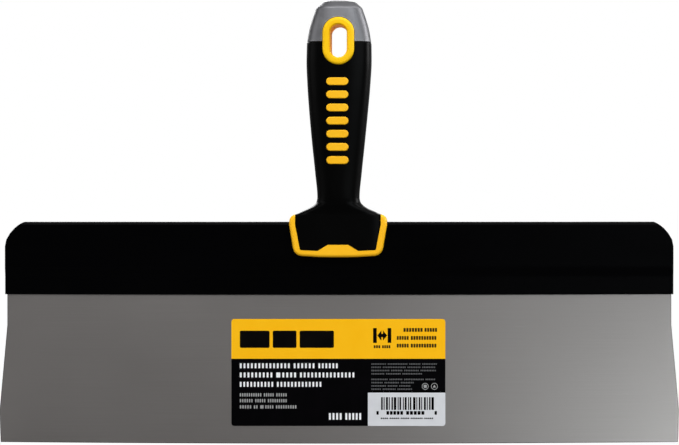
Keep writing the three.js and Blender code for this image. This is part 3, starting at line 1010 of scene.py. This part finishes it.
def build_label():
    """The sticker, with its layout kept and every word, mark and number replaced by plain blocks."""
    black = print_film("label_black", srgb(3, 2, 4), srgb(1, 1, 2))
    yellow = print_film("label_yellow", srgb(255, 191, 26), srgb(253, 186, 20))
    grey = print_film("label_grey", srgb(218, 219, 223), srgb(209, 210, 214))
    white = print_film("label_white", srgb(244, 244, 246), srgb(234, 234, 236))
    faint = print_film("label_faint", srgb(98, 98, 100), srgb(84, 84, 86))
    soft = print_film("label_soft_white", srgb(168, 168, 168), srgb(150, 150, 150))
    ink = print_film("label_ink", srgb(9, 7, 5), srgb(4, 3, 3))
    brown = print_film("label_brown_ink", srgb(66, 48, 18), srgb(52, 38, 14))
    label_film(black)
    left, right = LABEL_LOW.x, LABEL_HIGH.x
    low, high = LABEL_LOW.z, LABEL_HIGH.z

    band = Print()
    band.shape(
        rounded_outline([(left, 50.8, 0), (right, 50.8, 0), (right, high, 2.0), (left, high, 2.0)], 8), 0.012
    )
    band.build("label_band", yellow)

    panel = Print()
    panel.shape(
        rounded_outline([(17.1, low, 0), (right, low, 2.0), (right, 30.5, 0), (17.1, 30.5, 0)], 8), 0.012
    )
    panel.build("label_panel", grey)

    heading = Print(PRINT_SHIFT)
    for x0, x1 in ((-59.3, -41.5), (-39.6, -25.4), (-23.5, -3.0)):
        heading.soft_bar(x0, 57.6, x1, 67.9, 1.0)
    heading.build("label_heading_blocks", ink)

    width_sign = Print(PRINT_SHIFT)
    width_sign.bar(20.4, 60.6, 22.6, 69.5)
    width_sign.bar(29.1, 60.6, 31.3, 69.5)
    arrow = [(22.9, 65.0), (25.4, 61.9), (25.4, 64.0), (26.3, 64.0), (26.3, 61.9), (28.8, 65.0)]
    arrow += [(26.3, 68.1), (26.3, 66.0), (25.4, 66.0), (25.4, 68.1)]
    width_sign.shape(arrow)
    width_sign.build("label_width_sign", ink)

    side_lines = Print(PRINT_SHIFT)
    side_lines.words(20.8, 57.4, 59.2, (4.2, 5.2), 0.8, 1.4)
    side_lines.words(38.6, 67.2, 69.5, (11.8, 7.8), 0.8, 1.6)
    side_lines.words(34.6, 62.4, 64.7, (7.4, 15.6), 1.0, 1.6)
    side_lines.words(34.6, 57.8, 60.1, (7.4, 15.6), 1.0, 1.6)
    side_lines.build("label_side_lines", brown)

    headings = Print(PRINT_SHIFT)
    headings.words(-59.3, 45.4, 48.4, (31.0, 13.6, 12.6), 1.2, 2.2, 0.5)
    headings.words(-59.3, 39.9, 42.9, (20.6, 2.4, 9.4, 33.6), 1.2, 2.2, 0.5)
    headings.words(-59.3, 34.3, 37.3, (21.0, 27.6), 1.2, 2.2, 0.5)
    headings.words(-6.0, 14.6, 18.6, (8.6, 10.4), 1.2, 2.0, 0.45)
    headings.build("label_headings", white)

    notes = Print(PRINT_SHIFT)
    notes.words(-59.3, 28.5, 30.5, (13.4, 6.4, 6.8), 1.0, 1.35, 0.42)
    notes.words(-59.3, 25.0, 27.0, (8.2, 6.6, 11.8), 1.0, 1.35, 0.42)
    notes.words(-59.3, 21.3, 23.3, (7.4, 2.8, 2.0, 5.4, 12.8), 1.0, 1.35, 0.42)
    notes.build("label_notes", soft)

    small = Print(PRINT_SHIFT)
    line_lengths = [(9, 12, 7, 9), (6, 14, 8, 8), (11, 7, 9, 9.5), (8, 9, 12)]
    for row, lengths in enumerate(line_lengths):
        top = 48.4 - 1.95 * row
        small.words(19.4, top - 0.9, top, lengths, 0.8, 1.0, 0.3)
    for row, lengths in enumerate([(10, 8, 12, 6), (7, 9, 8), (9, 6, 7), (6, 8, 9)]):
        top = 39.2 - 1.95 * row
        small.words(19.4, top - 0.9, top, lengths, 0.8, 1.0, 0.3)
    small.build("label_small_print", faint)

    signs = Print(PRINT_SHIFT)
    for centre in (51.6, 57.1):
        for k in range(24):
            t0, t1 = 2 * math.pi * k / 24, 2 * math.pi * (k + 1) / 24
            ring = [(r * math.cos(t), r * math.sin(t)) for r, t in ((2.0, t0), (2.0, t1), (1.7, t1), (1.7, t0))]
            signs.shape([(centre + x, 34.6 + z) for x, z in ring])
    signs.soft_bar(50.7, 33.7, 52.5, 35.5, 0.4)
    signs.shape([(56.2, 33.9), (58.0, 33.9), (57.1, 35.6)])
    signs.build("label_signs", soft)

    bars = Print(PRINT_SHIFT)
    x, index = 25.2, 0
    widths = (1.0, 0.6, 1.2, 0.6, 0.9, 1.5, 0.6)
    gaps = (0.5, 0.8, 0.5, 1.0)
    while x < 55.6:
        width = widths[index % len(widths)]
        bars.bar(x, 20.5, x + width, 28.1)
        x += width + gaps[index % len(gaps)]
        index += 1
    bars.words(22.4, 17.6, 19.8, (1.4,), 0)
    bars.words(28.4, 17.6, 19.8, (10.4, 11.4), 1.4, 2.1)
    bars.words(57.2, 17.6, 19.8, (1.4,), 0)
    bars.words(25.0, 15.0, 15.9, (4.6, 6.0, 5.2, 7.4, 5.6), 0.7, 1.1)
    bars.build("label_plain_bars", ink)


# ---- Room: floor, light and camera ----


def build_floor():
    """A wide pale floor, faintly mottled, just under the working edge."""
    shader = Shader("floor_pale", Roughness=0.85, Specular_IOR_Level=0.1)
    mottling = shader.noise((3, 3, 3), 3)
    tree = shader.tree
    glow = tree.nodes.new("ShaderNodeEmission")
    fade = tree.nodes.new("ShaderNodeMixShader")
    path = tree.nodes.new("ShaderNodeLightPath")
    pale = shader.mix(mottling, (0.68, 0.68, 0.68, 1), (0.74, 0.74, 0.74, 1))
    shader.set("Base Color", shader.mix(path.outputs["Is Camera Ray"], (0.2, 0.2, 0.2, 1), pale))
    distance = tree.nodes.new("ShaderNodeVectorMath")
    distance.operation = "LENGTH"
    tree.links.new(shader.place, distance.inputs[0])
    far = shader.remap(distance.outputs["Value"], 0.16, 0.3, 0, 1)
    slant = tree.nodes.new("ShaderNodeLayerWeight")
    grazing = shader.remap(slant.outputs["Facing"], 0.8, 0.9, 0, 1)
    white = shader.math("MAXIMUM", far, grazing)
    tree.links.new(shader.math("MULTIPLY", white, path.outputs["Is Camera Ray"]), fade.inputs["Fac"])
    tree.links.new(shader.surface.outputs[0], fade.inputs[1])
    tree.links.new(glow.outputs[0], fade.inputs[2])
    tree.links.new(fade.outputs[0], tree.nodes["Material Output"].inputs["Surface"])
    reach = 30000
    floor = mesh_object(
        "floor", [(-reach, -reach, -0.3), (reach, -reach, -0.3), (reach, reach, -0.3), (-reach, reach, -0.3)], [(0, 1, 2, 3)]
    )
    floor.data.materials.append(shader.material)


def build_world():
    """White behind the knife, and a softer, even studio round it."""
    world = bpy.data.worlds.new("studio")
    bpy.context.scene.world = world
    world.use_nodes = True
    tree = world.node_tree
    tree.nodes.clear()
    output = tree.nodes.new("ShaderNodeOutputWorld")
    mix = tree.nodes.new("ShaderNodeMixShader")
    path = tree.nodes.new("ShaderNodeLightPath")
    seen = tree.nodes.new("ShaderNodeBackground")
    seen.inputs["Color"].default_value = (1, 1, 1, 1)
    studio = tree.nodes.new("ShaderNodeBackground")
    studio.inputs["Color"].default_value = (1, 1, 1, 1)
    studio.inputs["Strength"].default_value = 0.31
    tree.links.new(path.outputs["Is Camera Ray"], mix.inputs["Fac"])
    tree.links.new(studio.outputs[0], mix.inputs[1])
    tree.links.new(seen.outputs[0], mix.inputs[2])
    tree.links.new(mix.outputs[0], output.inputs["Surface"])


NEUTRAL, COOL = (1.0, 1.0, 1.0), (0.9, 0.97, 1.0)


def area_light(name, place, target, width, height, power, colour=NEUTRAL):
    """A soft box at place, facing target. Distances are in metres."""
    data = bpy.data.lights.new(name, "AREA")
    data.shape = "RECTANGLE"
    data.size, data.size_y, data.energy, data.color = width, height, power, colour
    light = bpy.data.objects.new(name, data)
    light.location = place
    light.rotation_euler = (Vector(target) - Vector(place)).to_track_quat("-Z", "Y").to_euler()
    light.visible_camera = False
    bpy.context.scene.collection.objects.link(light)
    return light


def spot_light(name, place, target, cone, softness, power, colour=NEUTRAL):
    """A soft-edged spot at place, aimed at target. The cone is in degrees."""
    data = bpy.data.lights.new(name, "SPOT")
    data.spot_size, data.spot_blend = math.radians(cone), 1.0
    data.shadow_soft_size, data.energy, data.color = softness, power, colour
    light = bpy.data.objects.new(name, data)
    light.location = place
    light.rotation_euler = (Vector(target) - Vector(place)).to_track_quat("-Z", "Y").to_euler()
    bpy.context.scene.collection.objects.link(light)
    return light


def build_lights():
    middle = (0, 0, 0.13)
    area_light("front_right_low", (1.0, -1.4, 0.5), middle, 1.5, 0.9, 9.5, COOL)
    area_light("front_top", (0, -1.3, 1.3), middle, 1.6, 0.7, 16.5)
    area_light("left", (-1.6, -0.6, 0.6), middle, 1.3, 1.1, 6.2)
    area_light("right_rim", (1.5, 0.5, 0.65), middle, 0.8, 0.8, 14)
    area_light("right_top", (0.8, 0.0, 1.4), middle, 0.7, 0.7, 6)
    area_light("top", (0, -0.4, 1.6), middle, 1.2, 0.8, 4.8)
    area_light("rear", (-0.4, 1.6, 1.0), middle, 1.4, 1.0, 27)
    spot_light("corner_glow", (0.5, -1.5, 0.14), (0.27, 0, -0.1), 13, 0.08, 24, COOL)
    spot_light("low_glow", (0.2, -1.5, 0.14), (0.15, 0, -0.09), 15, 0.08, 4.6, COOL)


def build_camera():
    """Level in front, a little to the right, so that the blade's width just fills the picture."""
    distance, aside, picture_width = 1.6, 0.075, 0.4063
    data = bpy.data.cameras.new("camera")
    data.sensor_width = 36.0
    data.lens = data.sensor_width * distance / picture_width
    data.shift_x = -aside / picture_width
    data.clip_end = 100
    camera = bpy.data.objects.new("camera", data)
    camera.location = (aside + 0.0001, -distance, 0.1323)
    camera.rotation_euler = (math.pi / 2, 0, 0)
    bpy.context.scene.collection.objects.link(camera)
    bpy.context.scene.camera = camera


# ---- Assembly ----

bpy.context.scene.view_settings.view_transform = "Standard"

yellow = yellow_plastic("yellow_plastic", srgb(255, 193, 28), srgb(253, 186, 20), 0.22)
ring_yellow = yellow_plastic("ring_yellow", srgb(253, 202, 14), srgb(250, 194, 8), 0.16)

build_blade(blade_steel())
build_back(back_paint())
build_core(yellow)
build_grip(grip_rubber())
build_cap(cap_metal())
for side in (-1, 1):
    build_ring(side, ring_yellow)
    for index in range(MARK_COUNT):
        build_mark(index, side, yellow)
build_label()

hidden_steel = plain_steel()
for node in ("tang", "tang_rivet_left", "tang_rivet_middle", "tang_rivet_right"):
    nodes[node].data.materials.clear()
    nodes[node].data.materials.append(hidden_steel)

build_floor()
build_world()
build_lights()
build_camera()
